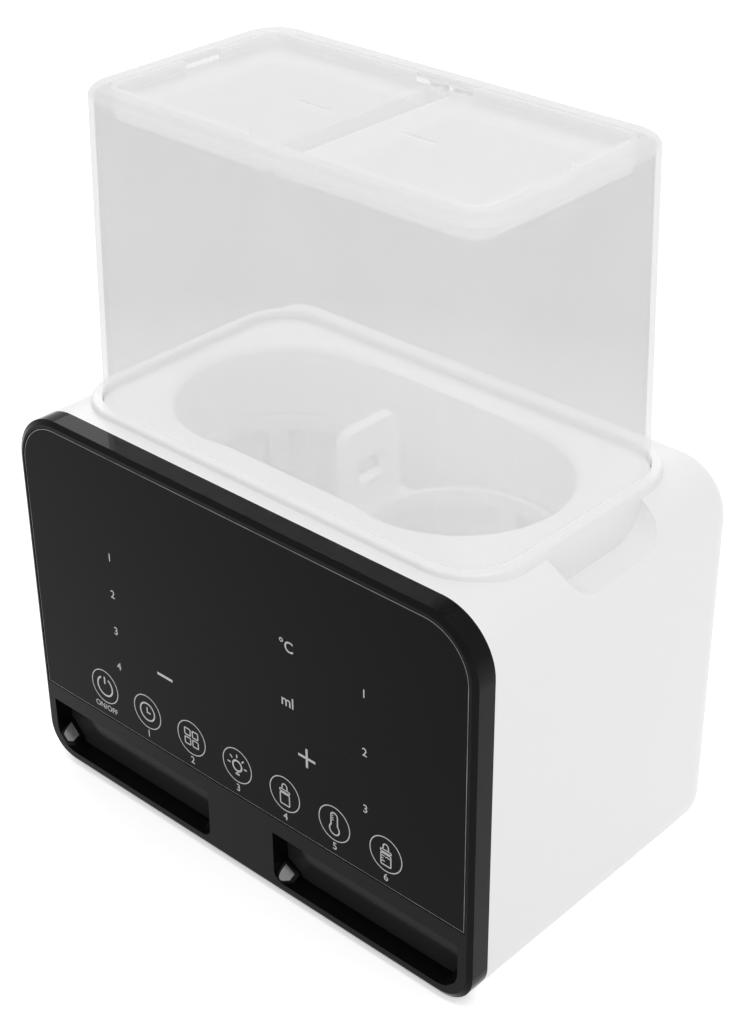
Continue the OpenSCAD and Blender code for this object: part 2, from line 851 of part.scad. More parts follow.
// Touch springs: one behind each of the seven keys, and behind minus and plus
module touch_springs() {
    color("silver") {
        for (i = [-3 : 3]) touch_spring(i * key_pitch, key_z);
        for (s = [-1, 1]) touch_spring(s * plus_x, plus_z);
    }
}

// Ring behind the frame's wall, on a tube that carries it on the board
module touch_spring(x, z) {
    tube_l = pcb_y - board_face_y;
    translate([x, board_face_y, z]) rotate([-90, 0, 0]) {
        difference() {
            cylinder(r = spring_r, h = spring_wire);
            translate([0, 0, -over])
                cylinder(r = spring_r - spring_ring_w, h = spring_wire + 2 * over);
        }
        difference() {
            cylinder(r = spring_tube_r, h = tube_l);
            translate([0, 0, -over])
                cylinder(r = spring_tube_r - spring_wire, h = tube_l + 2 * over);
        }
    }
}

module buzzer() {
    color([0.1, 0.1, 0.1]) translate([buzzer_x, pcb_y + pcb_t, buzzer_z]) rotate([-90, 0, 0])
        difference() {
            cylinder(r = buzzer_r, h = buzzer_h);
            translate([0, 0, buzzer_h * 2 / 3]) cylinder(r = buzzer_hole_r, h = buzzer_h / 2);
        }
}

module gasket_ring(grow) {
    difference() {
        round_rect(cover_w - 3 + 2 * grow, cover_d - 3 + 2 * grow, cover_r - 1.5 + grow);
        round_rect(cover_w - 7 - 2 * grow, cover_d - 7 - 2 * grow, cover_r - 3.5 - grow);
    }
}

module tank_gasket() {
    color("lightgray") prism(ledge_z - gasket_drop, ledge_z) gasket_ring(0);
}

module well_tank() {
    deck_grow = seat_gap - deck_gap;
    color("whitesmoke") difference() {
        union() {
            prism(ledge_z, deck_z)
                round_rect(cover_w + 2 * deck_grow, cover_d + 2 * deck_grow, cover_r + deck_grow);
            prism(tank_low, ledge_z + 0.2) stadium(well_r + well_wall);
            // snap hooks that hold the deck to the ledge
            for (sx = [-1, 1], sy = [0, 1]) mirror([0, sy, 0])
                translate([sx * hook_x, cover_d / 2 - ledge_w - 2, 0]) tank_hook();
            four_corners(well_cx, plate_ear_y) translate([0, 0, tank_low])
                cylinder(r = 3.2, h = 8);
        }
        prism(well_floor, deck_z + over) stadium(well_r);
        prism(tank_low - over, well_floor + over) stadium(plate_hole_r);
        four_corners(well_cx, plate_ear_y) translate([0, 0, tank_low - over])
            cylinder(r = screw_r - 0.2, h = 6 + over);
        // soft edge where the well meets the deck
        for (s = [-1, 1]) translate([s * well_cx, 0, deck_z - 1.5])
            cylinder(r1 = well_r - 0.01, r2 = well_r + 1.6, h = 1.6);
    }
}

module tank_hook() {
    low = ledge_z - gasket_drop - ledge_t;
    translate([-5, 0, 0]) along_x(0, 10)
        polygon([[0, ledge_z + 0.1], [0, low - 3], [1.6, low - 3], [2.6, low - 0.3], [1.6, low - 0.3],
            [1.6, ledge_z + 0.1]]);
}

module plate_gasket() {
    color("orangered") prism(plate_z, tank_low) difference() {
        stadium(plate_r - 0.3);
        stadium(plate_hole_r + 0.4);
    }
}

module heating_plate() {
    color("lightgray") difference() {
        union() {
            prism(plate_low, plate_z) {
                stadium(plate_r);
                four_corners(well_cx, plate_ear_y) circle(3.6);
            }
            prism(plate_z - 0.1, well_floor + 0.2) stadium(plate_hole_r - fit_gap);
        }
        four_corners(well_cx, plate_ear_y) translate([0, 0, plate_low - over])
            cylinder(r = screw_r + 0.2, h = plate_t + 2 * over);
        translate([0, sensor_y, plate_low - over])
            cylinder(r = sensor_r + fit_gap, h = over + sensor_deep + 0.5);
        for (s = [-1, 1]) translate([s * strap_screw_x, 0, plate_low - over])
            cylinder(r = screw_r - 0.2, h = over + screw_bite + 0.5);
    }
}

// Screws of the heating plate, and of the strap below it
module plate_screws() {
    color("silver") {
        four_corners(well_cx, plate_ear_y) translate([0, 0, plate_low])
            screw_up(plate_t + gasket_t + 4);
        for (s = [-1, 1]) translate([s * strap_screw_x, 0, plate_low - strap_t])
            screw_up(strap_t + screw_bite);
    }
}

// One ceramic element under each bottle, with two flat contacts
module heater_elements() {
    color("gold") for (s = [-1, 1]) translate([s * well_cx, 0, heater_low]) {
        prism(0, heater_t) square([heater_l, heater_w], center = true);
        for (t = [-1, 1])
            translate([t * heater_l / 3, (heater_w + contact_l - 1) / 2, contact_z])
                prism(0, contact_t) square([contact_w, contact_l], center = true);
    }
}

// Steel strap that presses the heater elements against the plate
module heater_bracket() {
    x = well_cx + heater_l / 2 + 1.4;
    half = strap_w / 2;
    color("silver") difference() {
        union() {
            block(-x, x, -half, half, heater_low - strap_t, heater_low);
            both_sides() {
                block(x - strap_t, x, -half, half, heater_low - strap_t, plate_low);
                block(x - strap_t, x + 9, -half, half, plate_low - strap_t, plate_low);
            }
        }
        for (s = [-1, 1]) translate([s * strap_screw_x, 0, plate_low - strap_t - over])
            cylinder(r = screw_r + 0.2, h = strap_t + 2 * over);
    }
}

module temperature_sensor() {
    color("black") translate([0, sensor_y, plate_low]) {
        translate([0, 0, -sensor_l]) cylinder(r = sensor_r, h = sensor_l + sensor_deep);
        translate([0, 0, -sensor_flange_t]) cylinder(r = sensor_flange_r, h = sensor_flange_t);
    }
}

module thermal_cutout() {
    color([0.2, 0.15, 0.12]) translate([0, cutout_y, plate_low]) {
        translate([0, 0, -cutout_flange_t]) cylinder(r = cutout_flange_r, h = cutout_flange_t);
        translate([0, 0, -cutout_h]) cylinder(r = cutout_r, h = cutout_h - cutout_flange_t + 0.1);
        for (s = [-1, 1]) translate([s * cutout_r / 2, 0, -cutout_h - contact_l / 2])
            prism(0, contact_l / 2 + 0.1) square([2 * contact_t, contact_w], center = true);
    }
}

module power_board() {
    color("seagreen") translate([power_x, power_y, power_z]) difference() {
        translate([-power_w / 2, -power_d / 2, 0]) cube([power_w, power_d, pcb_t]);
        four_corners(power_hole_x, power_hole_y) translate([0, 0, -over])
            cylinder(r = screw_r + 0.2, h = pcb_t + 2 * over);
    }
}

module transformer() {
    coil_top = core_t + coil_h;
    color("goldenrod") translate([core_x, power_y, power_z + pcb_t]) {
        for (z = [0, coil_top - 0.1]) translate([0, 0, z])
            prism(0, core_t + min(z, 0.1)) square(core_l, center = true);
        prism(core_t - 0.1, coil_top) square([coil_l, coil_d], center = true);
    }
}

module relay() {
    color("royalblue") translate([relay_x, relay_y, power_z + pcb_t])
        cube([relay_l, relay_d, relay_h]);
}

module terminal_block() {
    color("limegreen") translate([terminal_x, terminal_y, power_z + pcb_t]) difference() {
        cube([terminal_l, terminal_d, terminal_h]);
        for (i = [-1 : 1])
            translate([terminal_l / 2 + i * terminal_pitch, terminal_d / 2, terminal_h / 2])
                cylinder(r = terminal_hole_r, h = terminal_h);
    }
}

// Flat cable from the power board to the back of the display board
module ribbon_cable() {
    t = ribbon_t;
    r = ribbon_r;
    y0 = pcb_y + pcb_t;
    y1 = power_y - power_d / 3;
    z0 = power_z + pcb_t;
    low = z0 + ribbon_lift;
    z1 = pcb_z - 0.27 * pcb_h;
    bend_y = y0 + 2 * r - t;
    color("gray") translate([ribbon_x - ribbon_w / 2, 0, 0]) along_x(0, ribbon_w) {
        translate([bend_y + r, low]) square([y1 - bend_y - r, t]);
        translate([y1 - t, z0]) square([t, ribbon_lift + t / 2]);
        translate([bend_y + r, low + r]) intersection() {
            difference() {
                circle(r);
                circle(r - t);
            }
            translate([-r, -r]) square(r);
        }
        translate([bend_y, low + r]) square([t, z1 - low - 2 * r]);
        translate([bend_y - r + t, z1 - r]) intersection() {
            difference() {
                circle(r);
                circle(r - t);
            }
            square(r);
        }
        translate([y0, z1 - t]) square([bend_y - r + t - y0, t]);
    }
}

// Bushing where the mains lead comes in
module cord_gland() {
    color([0.85, 0.85, 0.85]) translate([gland_x, back_y - gland_sink, gland_z])
        rotate([-90, 0, 0]) difference() {
            union() {
                rotate_extrude() {
                    square([gland_flange_r - 0.5, gland_flange_t]);
                    square([gland_flange_r, gland_flange_t - 0.5]);
                    translate([gland_flange_r - 0.5, gland_flange_t - 0.5]) circle(0.5);
                }
                translate([0, 0, -body_wall - gland_pad - 2])
                    cylinder(r = gland_body_r, h = body_wall + gland_pad + 2.1);
                translate([0, 0, -body_wall - gland_pad - 2 + gland_sink - 1])
                    cylinder(r = gland_body_r + 1.6, h = 1.2);
            }
            translate([0, 0, -gland_pad - body_wall - 4])
                cylinder(r = gland_bore_r, h = gland_pad + body_wall + gland_sink + 6);
        }
}

// Rack: a pierced floor under each bottle and a ring round each one, joined by a bridge
module bottle_rack() {
    bar_w = 7;
    hole_r = 4;
    color("white") difference() {
        union() {
            prism(rack_z, rack_z + rack_t) rack_plan();
            prism(ring_z, ring_z + ring_h) rack_rings();
            for (s = [0, 1]) mirror([s, 0, 0]) translate([well_cx, 0, 0])
                for (a = [-100, -40, 40, 100]) intersection() {
                    prism(rack_z, ring_z + ring_h) difference() {
                        circle(rack_r);
                        circle(rack_r - ring_wall);
                    }
                    rotate([0, 0, a]) block(rack_r - 6, rack_r + 1, -bar_w / 2, bar_w / 2, rack_z,
                        ring_z + ring_h);
                }
            for (s = [-1, 1], a = [-60, 60, 180]) translate([s * well_cx, 0, rack_z - rack_foot])
                rotate([0, 0, a]) translate([rack_r - 12, 0, 0]) cylinder(r = 3, h = rack_foot + 0.2);
        }
        for (s = [-1, 1]) translate([s * well_cx, 0, rack_z - over]) {
            cylinder(r = 9, h = rack_t + 2 * over);
            for (a = [0 : 30 : 330]) rotate([0, 0, a]) translate([18, 0, 0])
                cylinder(r = hole_r, h = rack_t + 2 * over);
        }
        // slots for the handle: its tongue goes into the floor, its blade through the bridge
        prism(rack_z - over, rack_z + rack_t + over) handle_slot(tongue_half);
        prism(ring_z - over, ring_z + ring_h + over) handle_slot(handle_half);
    }
}

module rack_plan() {
    for (s = [-1, 1]) translate([s * well_cx, 0]) circle(rack_r);
    square([2 * well_cx, 2 * bridge_hy], center = true);
}

module rack_rings() {
    difference() {
        union() {
            for (s = [-1, 1]) translate([s * well_cx, 0]) circle(rack_r);
            square([2 * bridge_hx, 2 * bridge_hy], center = true);
        }
        for (s = [-1, 1]) translate([s * well_cx, 0]) circle(rack_r - ring_wall);
    }
}

module handle_slot(half) {
    square([handle_t + 2 * handle_slot_gap, 2 * (half + handle_slot_gap)], center = true);
}

// Handle between the bottles: a blade that stands on the rack's floor, with a grip hole on top
module rack_handle() {
    top = deck_z + handle_rise;
    low = rack_z + rack_t;
    corner_r = 4;
    color("white") along_x(-handle_t / 2, handle_t / 2) difference() {
        union() {
            translate([-tongue_half, rack_z]) square([2 * tongue_half, rack_t + 1]);
            translate([-handle_half, low]) square([2 * handle_half, top - corner_r - low]);
            translate([-handle_half + corner_r, low])
                square([2 * (handle_half - corner_r), top - low]);
            for (s = [-1, 1]) translate([s * (handle_half - corner_r), top - corner_r])
                circle(corner_r);
        }
        translate([-grip_w / 2, top - grip_drop]) square([grip_w, grip_h]);
        for (z = relief_rises) translate([0, rack_z + z]) circle(relief_r);
    }
}

// Edge of the cover in a corner's plane: it leans in and rounds over at the top
module cover_profile() {
    e = cover_edge_r;
    cz = cover_top - e;
    cx = cover_r - (cz - cover_z) * tan(draft_a) - e / cos(draft_a);
    // the side's line ends just inside the round, so that the two cross cleanly
    r = e - edge_tuck;
    polygon([[0, cover_z], [cover_r, cover_z], [cx + r * cos(draft_a), cz + r * sin(draft_a)],
        [cx, cz], [cx, cover_top], [0, cover_top]]);
    translate([cx, cz]) circle(e);
}

module cover_inside_profile() {
    low = cover_z - over;
    x0 = cover_r - cover_wall;
    lean = tan(draft_a);
    polygon([[0, low], [x0 + over * lean, low], [x0 - (rim_z - cover_z) * lean, rim_z], [0, rim_z]]);
}

module tall_cover() {
    color([0.85, 0.87, 0.88, 0.6]) difference() {
        union() {
            difference() {
                edged_slab(cover_w / 2, cover_d / 2, cover_r, cover_z, cover_top) cover_profile();
                edged_slab(cover_w / 2, cover_d / 2, cover_r, cover_z - over, rim_z)
                    cover_inside_profile();
            }
            // ears that carry the flaps' pins
            for (sx = [-1, 1], sy = [0, 1]) mirror([0, sy, 0]) translate([sx * hinge_x, 0, 0])
                along_y(mouth_hy, mouth_hy + ear_t) {
                    translate([-ear_r, hinge_z]) square([2 * ear_r, rim_z + 0.2 - hinge_z]);
                    translate([0, hinge_z]) circle(ear_r);
                }
        }
        // mouth, with a step all round that the flaps' lips come down on
        prism(rim_z - over, cover_top + over)
            round_rect(2 * (mouth_hx - seat_inset), 2 * (mouth_hy - seat_inset), mouth_r - seat_inset);
        prism(seat_z, cover_top + over) round_rect(2 * mouth_hx, 2 * mouth_hy, mouth_r);
        for (sx = [-1, 1], sy = [0, 1]) mirror([0, sy, 0])
            translate([sx * hinge_x, mouth_hy - over, hinge_z]) rotate([-90, 0, 0])
                cylinder(r = pin_r + pin_gap, h = ear_t + 2 * over);
    }
}

// Plan of a flap inset by i, with its two outer corners round. The side at the channel is
// moved in by c.
module flap_plan(i, c) {
    x0 = flap_hx - i;
    x1 = channel_half + c;
    y = flap_hy - i;
    r = flap_r - i;
    translate([-x0 + r, -y]) square([x0 - r - x1, 2 * y]);
    translate([-x0, -y + r]) square([x0 - x1, 2 * (y - r)]);
    for (s = [-1, 1]) translate([-x0 + r, s * (y - r)]) circle(r);
}

// Corner section of the tray inside the lip: the lip's foot is filleted
module tray_profile() {
    r = flap_r - flap_lip_w;
    h = flap_lip_z + over - flap_z;
    translate([0, flap_z]) square([r - lip_fillet, h]);
    translate([0, flap_z + lip_fillet]) square([r, h - lip_fillet]);
    translate([r - lip_fillet, flap_z + lip_fillet]) circle(lip_fillet);
}

// Section of a knuckle: flat on top, flush with the panel, and round below the pin
module knuckle_profile() {
    translate([-knuckle_r, 0]) square([2 * knuckle_r, flap_z - hinge_z]);
    intersection() {
        circle(knuckle_r);
        translate([-knuckle_r, -knuckle_r]) square([2 * knuckle_r, knuckle_r + 0.1]);
    }
}

module flap() {
    color([0.9, 0.92, 0.93, 0.7]) difference() {
        union() {
            prism(flap_z - flap_t, flap_z) flap_plan(body_inset, 0);
            // lip that stands up round three sides and comes down on the step in the cover's rim
            difference() {
                union() {
                    prism(flap_z - 0.2, flap_lip_z) flap_plan(body_inset, 0);
                    prism(seat_z + rest_gap, flap_lip_z) flap_plan(0, 0);
                }
                edged_slab(flap_hx - flap_lip_w, flap_hy - flap_lip_w, flap_r - flap_lip_w, flap_z,
                    flap_lip_z + over) tray_profile();
                block(-lip_end_x, over, -flap_hy - over, flap_hy + over, flap_z, flap_lip_z + over);
                block(-flap_hx - over, -flap_hx + flap_r, notch_y - notch_w / 2,
                    notch_y + notch_w / 2, flap_z, flap_lip_z + over);
            }
            // skirt below, closed along the channel too
            difference() {
                prism(flap_low, flap_z - flap_t + 0.2) flap_plan(body_inset, 0);
                prism(flap_low - over, flap_z - flap_t)
                    flap_plan(body_inset + flap_skirt_t, flap_skirt_t);
            }
            for (s = [0, 1]) mirror([0, s, 0]) translate([-hinge_x, 0, hinge_z]) {
                translate([0, 0, -hinge_z]) along_y(flap_body_hy - knuckle_l, flap_body_hy)
                    translate([0, hinge_z]) knuckle_profile();
                rotate([-90, 0, 0]) translate([0, 0, flap_body_hy - over])
                    cylinder(r = pin_r, h = over + mouth_hy - flap_body_hy + ear_t - pin_end_gap);
            }
        }
        translate([-slit_x, 0, flap_z - flap_t - over])
            linear_extrude(height = flap_t + 2 * over) {
                square([slit_l - slit_w, slit_w], center = true);
                for (s = [-1, 1]) translate([s * (slit_l - slit_w) / 2, 0]) circle(slit_w / 2);
            }
    }
}

module flap_left() {
    flap();
}

// The same moulding, turned round
module flap_right() {
    rotate([0, 0, 180]) flap();
}

housing();
base_plate();
front_bezel();
touch_panel();
light_window_left();
light_window_right();
night_light_boards();
display_board();
display_module();
touch_springs();
buzzer();
well_tank();
tank_gasket();
plate_gasket();
heating_plate();
heater_elements();
heater_bracket();
plate_screws();
temperature_sensor();
thermal_cutout();
power_board();
transformer();
relay();
terminal_block();
ribbon_cable();
cord_gland();
rubber_feet();
base_screws();
board_screws();
bottle_rack();
rack_handle();
tall_cover();
flap_left();
flap_right();
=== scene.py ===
import math

import bmesh
import bpy
from mathutils import Matrix, Vector


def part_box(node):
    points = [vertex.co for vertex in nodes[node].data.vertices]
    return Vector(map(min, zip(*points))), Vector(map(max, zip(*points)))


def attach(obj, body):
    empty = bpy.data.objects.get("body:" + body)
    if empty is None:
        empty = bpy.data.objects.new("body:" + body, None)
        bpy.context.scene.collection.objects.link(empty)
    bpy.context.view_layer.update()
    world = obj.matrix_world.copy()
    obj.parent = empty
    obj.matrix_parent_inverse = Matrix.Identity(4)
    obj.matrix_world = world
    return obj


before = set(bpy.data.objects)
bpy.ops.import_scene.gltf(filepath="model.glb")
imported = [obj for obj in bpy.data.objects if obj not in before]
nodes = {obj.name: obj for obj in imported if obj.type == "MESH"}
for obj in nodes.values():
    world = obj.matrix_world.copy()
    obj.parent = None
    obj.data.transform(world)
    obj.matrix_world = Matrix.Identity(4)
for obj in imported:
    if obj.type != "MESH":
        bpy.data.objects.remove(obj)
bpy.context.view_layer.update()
scene = bpy.context.scene
scene.view_settings.view_transform = "Standard"

# Camera
# The camera stands at the front right, a little above the warmer, and looks down at it
# with a medium long lens. Its place and turn are those from which the photograph was taken.
camera_place = Vector((0.38186, -0.40979, 0.44946))
camera_right = Vector((0.735995, 0.676934, -0.008491))
camera_up = Vector((-0.343107, 0.383797, 0.857308))
camera_data = bpy.data.cameras.new("camera")
camera_data.sensor_width = 36
camera_data.lens = 69.907
camera_data.clip_start = 0.01
camera_data.clip_end = 50
camera = bpy.data.objects.new("camera", camera_data)
scene.collection.objects.link(camera)
camera_back = camera_right.cross(camera_up).normalized()
turn = Matrix((camera_right, camera_up, camera_back)).transposed()
camera.matrix_world = Matrix.Translation(camera_place) @ turn.to_4x4()
scene.camera = camera
# one line of sight can cross a dozen walls of the frosted cover and its flaps
scene.cycles.transparent_max_bounces = 32
scene.cycles.diffuse_bounces = 24
scene.cycles.max_bounces = 32


# Studio
# A wide pale sweep carries the warmer. A long soft box above at the right and a large one
# behind at the left light it, and the white surroundings fill in the rest. Where the table
# is seen through the cover it shows plain, with painted light round a centre that fades to
# painted shade towards its far end.
class Wire:
    """A socket of a shader. Sums on it add Math nodes to the same tree."""

    def __init__(self, tree, socket=None):
        self.tree = tree
        self.socket = socket

    def node(self, kind, settings=None, sockets=None, out=0):
        """Adds a node: its settings first, then the values or wires of its sockets."""
        added = self.tree.nodes.new("ShaderNode" + kind)
        for name, value in (settings or {}).items():
            setattr(added, name, value)
        for name, value in (sockets or {}).items():
            if isinstance(value, Wire):
                self.tree.links.new(value.socket, added.inputs[name])
            else:
                added.inputs[name].default_value = value
        return Wire(self.tree, added.outputs[out] if added.outputs else None)

    def sum(self, operation, first, second):
        """A Math node of the given operation."""
        return self.node("Math", {"operation": operation}, {0: first, 1: second})

    def __add__(self, other):
        return self.sum("ADD", self, other)

    def __sub__(self, other):
        return self.sum("SUBTRACT", self, other)

    def __rsub__(self, other):
        return self.sum("SUBTRACT", other, self)

    def __mul__(self, other):
        return self.sum("MULTIPLY", self, other)

    def __gt__(self, other):
        return self.sum("GREATER_THAN", self, other)

    def __lt__(self, other):
        return self.sum("LESS_THAN", self, other)

    __radd__ = __add__
    __rmul__ = __mul__

    def ramp(self, start, end):
        """0 up to start, 1 from end on, and even between them."""
        return self.node("MapRange", None, {0: self, 1: start, 2: end, 3: 0.0, 4: 1.0})

    def shade(self, low, high):
        """A colour between low, where the wire is 0, and high, where it is 1."""
        return self.node("Mix", {"data_type": "RGBA"}, {0: self, 6: low, 7: high}, out=2)


def grey(level, tint=(1.0, 1.0, 1.0)):
    """A grey as a linear colour, with a slight tint."""
    return (level * tint[0], level * tint[1], level * tint[2], 1.0)


def bare_finish(name):
    """A new material with an empty tree."""
    made = bpy.data.materials.new(name)
    made.use_nodes = True
    made.node_tree.nodes.clear()
    return made, Wire(made.node_tree)


def close_finish(wire, sockets):
    """Ends a material with one Principled shader."""
    shader = wire.node("BsdfPrincipled", None, sockets)
    wire.node("OutputMaterial", None, {"Surface": shader})


floor_half = 6.0
floor_mesh = bpy.data.meshes.new("studio_floor")
floor_mesh.from_pydata(
    [(x * floor_half, y * floor_half, 0) for x, y in ((-1, -1), (1, -1), (1, 1), (-1, 1))],
    [],
    [(0, 1, 2, 3)],
)
floor = bpy.data.objects.new("studio_floor", floor_mesh)
scene.collection.objects.link(floor)
floor_white, wire = bare_finish("floor_white")
place = wire.node("TexCoord", out="Object")
mottle = wire.node("TexNoise", None, {"Vector": place, "Scale": 6.0, "Detail": 2.0})
seen = wire.node("LightPath", out="Is Camera Ray")
mirrored = wire.node("LightPath", out="Is Glossy Ray")
# a line through the cover's front wall and back wall crosses four faces
crossings = wire.node("LightPath", out="Transparent Depth")
behind = seen * crossings.ramp(1.0, 4.0)
# the table seen through the cover is painted lighter round this centre and fades to painted shade
# further off
painted_light_centre = (-0.08, -0.02, 0.0)
fade_start, fade_end = 0.30, 0.38
away = wire.node("VectorMath", {"operation": "DISTANCE"}, {0: place, 1: painted_light_centre}, out=1)
close_finish(
    wire,
    {
        "Base Color": behind.shade(
            mottle.shade(grey(0.93), grey(0.95)),
            away.ramp(fade_start, fade_end).shade(grey(0.44), grey(0.08)),
        ),
        "Roughness": 0.85,
        "Specular IOR Level": 0.1,
        "Emission Color": (seen - behind + mirrored).shade(grey(0.0), grey(1.0)),
        "Emission Strength": 0.45,
    },
)
floor_mesh.materials.append(floor_white)

world = bpy.data.worlds.new("studio")
world.use_nodes = True
scene.world = world
world.node_tree.nodes.clear()
wire = Wire(world.node_tree)
seen = wire.node("LightPath", out="Is Camera Ray")
mirrored = wire.node("LightPath", out="Is Glossy Ray")
surround = 0.74
strength = (seen + mirrored) * (1.0 - surround) + surround
shine = wire.node("Background", None, {"Color": grey(1.0), "Strength": strength})
wire.node("OutputWorld", None, {"Surface": shine})

# each lamp: name, direction from the warmer, distance, width, height, brightness
lamps = (
    ("soft_box_right", (0.45, -0.25, 0.85), 1.30, 0.95, 0.045, 27.0),
    ("soft_box_back", (-0.60, 0.55, 0.62), 1.50, 0.80, 0.80, 1.9),
)
aim = Vector((0, 0, 0.12))
long_side = Vector((0.53, 0.17, -0.25))
for name, direction, distance, width, height, brightness in lamps:
    data = bpy.data.lights.new(name, "AREA")
    data.shape = "RECTANGLE"
    data.size = width
    data.size_y = height
    data.energy = brightness * math.pi * width * height
    lamp = bpy.data.objects.new(name, data)
    scene.collection.objects.link(lamp)
    outward = Vector(direction).normalized()
    along = (long_side - outward * long_side.dot(outward)).normalized()
    across = outward.cross(along)
    turn = Matrix((along, across, outward)).transposed()
    lamp.matrix_world = Matrix.Translation(aim + outward * distance) @ turn.to_4x4()


# Body shell and base plate
# Shell and base plate are moulded in white ABS with a fine satin grain. The well drops into
# the shell's top and snaps under its ledge, and the base plate screws in from below.
def dress(material, *names):
    """Gives CAD nodes a finish."""
    for name in names:
        for held in nodes[name].material_slots:
            held.material = material


white_abs, wire = bare_finish("white_abs")
place = wire.node("TexCoord", out="Object")
flow = wire.node("TexNoise", None, {"Vector": place, "Scale": 14.0, "Detail": 3.0})
grain = wire.node("TexNoise", None, {"Vector": place, "Scale": 2200.0, "Detail": 1.0})
relief = wire.node("Bump", None, {"Strength": 0.12, "Distance": 0.00006, "Height": grain})
close_finish(
    wire,
    {
        "Base Color": flow.shade(grey(0.850, (1, 1, 0.996)), grey(0.870, (1, 1, 0.998))),
        "Roughness": flow * 0.10 + 0.33,
        "Normal": relief,
    },
)
dress(white_abs, "housing", "base_plate")

# Feet and base screws
# Four soft rubber feet are pressed into the base plate by their stems. Plated pan-head
# screws with a cross recess hold the plate to the posts of the shell.
rubber, wire = bare_finish("foot_rubber")
place = wire.node("TexCoord", out="Object")
dust = wire.node("TexNoise", None, {"Vector": place, "Scale": 420.0, "Detail": 4.0})
relief = wire.node("Bump", None, {"Strength": 0.25, "Distance": 0.0001, "Height": dust})
close_finish(
    wire,
    {
        "Base Color": dust.shade(grey(0.030), grey(0.055)),
        "Roughness": dust * 0.2 + 0.62,
        "Normal": relief,
    },
)
dress(rubber, "rubber_feet")

plated, wire = bare_finish("plated_steel")
place = wire.node("TexCoord", out="Object")
stain = wire.node("TexNoise", None, {"Vector": place, "Scale": 260.0, "Detail": 3.0})
close_finish(
    wire,
    {
        "Base Color": stain.shade(grey(0.50, (1, 0.99, 0.96)), grey(0.66, (1, 0.99, 0.97))),
        "Metallic": 1.0,
        "Roughness": stain * 0.18 + 0.22,
    },
)
dress(plated, "base_screws", "board_screws", "plate_screws", "touch_springs")

# Heater under the well
# A turned aluminium plate closes the well's floor on a silicone gasket. A steel strap
# presses two ceramic elements to it, beside the sensor and the thermal cut-out.
turned, wire = bare_finish("turned_aluminium")
place = wire.node("TexCoord", out="Object")
rings = wire.node(
    "TexWave",
    {"wave_type": "RINGS", "rings_direction": "Z"},
    {"Vector": place, "Scale": 900.0, "Distortion": 1.5, "Detail": 1.0},
)
relief = wire.node("Bump", None, {"Strength": 0.2, "Distance": 0.00004, "Height": rings})
close_finish(
    wire,
    {
        "Base Color": rings.shade(grey(0.92), grey(0.95)),
        "Metallic": 1.0,
        "Roughness": rings * 0.08 + 0.30,
        "Normal": relief,
    },
)
dress(turned, "heating_plate")


def plain_part(name, low, high, rough, scale=200.0, metal=0.0):
    """A moulded, fired or coated part that only shows inside, with a slight mottle."""
    made, wire = bare_finish(name)
    place = wire.node("TexCoord", out="Object")
    mottle = wire.node("TexNoise", None, {"Vector": place, "Scale": scale, "Detail": 3.0})
    relief = wire.node("Bump", None, {"Strength": 0.1, "Distance": 0.0001, "Height": mottle})
    close_finish(
        wire,
        {
            "Base Color": mottle.shade(low, high),
            "Metallic": metal,
            "Roughness": mottle * 0.12 + rough,
            "Normal": relief,
        },
    )
    return made


dress(
    plain_part("silicone", (0.60, 0.16, 0.08, 1), (0.68, 0.20, 0.11, 1), 0.55),
    "tank_gasket",
    "plate_gasket",
)
dress(plain_part("ceramic", (0.62, 0.50, 0.24, 1), (0.74, 0.60, 0.32, 1), 0.45), "heater_elements")
dress(plain_part("strap_steel", grey(0.48), grey(0.60), 0.30, 90.0, 1.0), "heater_bracket")
dress(
    plain_part("phenolic", (0.030, 0.022, 0.018, 1), (0.055, 0.042, 0.036, 1), 0.50),
    "temperature_sensor",
    "thermal_cutout",
)

# Circuit boards
# The power board lies on the base plate's stand-offs with its transformer, relay and
# terminal block, and a flat cable joins it to the display board behind the touch front.
board, wire = bare_finish("solder_resist")
place = wire.node("TexCoord", out="Object")
weave = wire.node(
    "TexWave", {"bands_direction": "X"}, {"Vector": place, "Scale": 420.0, "Distortion": 6.0}
)
tracks = (weave > 0.62) * 0.6
close_finish(
    wire,
    {
        "Base Color": tracks.shade((0.012, 0.085, 0.035, 1), (0.03, 0.16, 0.06, 1)),
        "Roughness": tracks * -0.15 + 0.38,
    },
)
dress(board, "power_board", "display_board", "night_light_boards")
dress(plain_part("black_case", grey(0.018), grey(0.030), 0.38), "display_module", "buzzer")
dress(
    plain_part("winding_tape", (0.66, 0.44, 0.04, 1), (0.78, 0.55, 0.07, 1), 0.35), "transformer"
)
dress(plain_part("relay_case", (0.02, 0.09, 0.38, 1), (0.03, 0.12, 0.46, 1), 0.30), "relay")
dress(
    plain_part("terminal_green", (0.03, 0.26, 0.07, 1), (0.04, 0.32, 0.09, 1), 0.40),
    "terminal_block",
)
ribbon, wire = bare_finish("ribbon_grey")
place = wire.node("TexCoord", out="Object")
cores = wire.node("TexWave", {"bands_direction": "X"}, {"Vector": place, "Scale": 250.0})
relief = wire.node("Bump", None, {"Strength": 0.5, "Distance": 0.0003, "Height": cores})
close_finish(
    wire,
    {
        "Base Color": cores.shade(grey(0.34), grey(0.50)),
        "Roughness": 0.5,
        "Normal": relief,
    },
)
dress(ribbon, "ribbon_cable")

# Cord bushing
# A turned-over collar of light grey nylon sits in the back wall and guards the mains
# lead's hole. Its flange lies in a shallow pocket.
dress(plain_part("bushing_nylon", grey(0.52), grey(0.58), 0.42, 500.0), "cord_gland")

